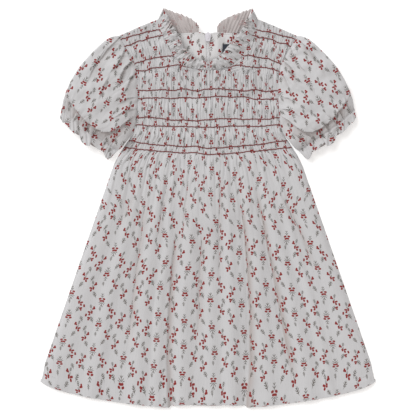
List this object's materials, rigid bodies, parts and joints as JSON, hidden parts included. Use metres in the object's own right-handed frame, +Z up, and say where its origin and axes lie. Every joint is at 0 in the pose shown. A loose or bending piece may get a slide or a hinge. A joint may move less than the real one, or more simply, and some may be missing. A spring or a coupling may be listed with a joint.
{
  "type": "smocked dress",
  "caption": "Child's puff-sleeved dress laid flat: smocked and gathered front, frilled V neck with back zip, soft-folded A-line skirt.",
  "frame": {"origin": "centre of the dress's outline on the surface that it lies on", "axes": "+X towards the dress's right as seen from the front, +Y from hem to neck, +Z up from the surface, out of the front"},
  "size_m": [0.4872, 0.5771, 0.0178],
  "materials": {
    "printed_cotton": "matt crinkled cotton with a small berry sprig print",
    "cotton_wrong_side": "matt, the print showing through faintly",
    "zip_pale": "smooth satin",
    "zip_tape": "fine woven tape",
    "label_navy": "matt woven, blank"
  },
  "bodies": {
    "dress": {"front": "printed_cotton", "back_left": "printed_cotton", "back_right": "printed_cotton", "back_facing_left": "printed_cotton", "back_facing_right": "printed_cotton", "sleeve_left": "printed_cotton", "sleeve_right": "printed_cotton", "neck_frill_front_left": "printed_cotton", "neck_frill_front_right": "printed_cotton", "neck_frill_back_left": "cotton_wrong_side", "neck_frill_back_right": "cotton_wrong_side", "zip_tape_left": "zip_tape", "zip_tape_right": "zip_tape", "zip_slider": "zip_pale", "neck_label": "label_navy"},
    "pull_tab": {"zip_pull_tab": "zip_pale"}
  },
  "joints": [
    {"name": "pull_tab_swing", "type": "hinge", "parent": "dress", "child": "pull_tab", "pos_m": [0, 0.247, 0.00175], "axis": [1, 0, 0], "range_deg": [0, 170]}
  ]
}
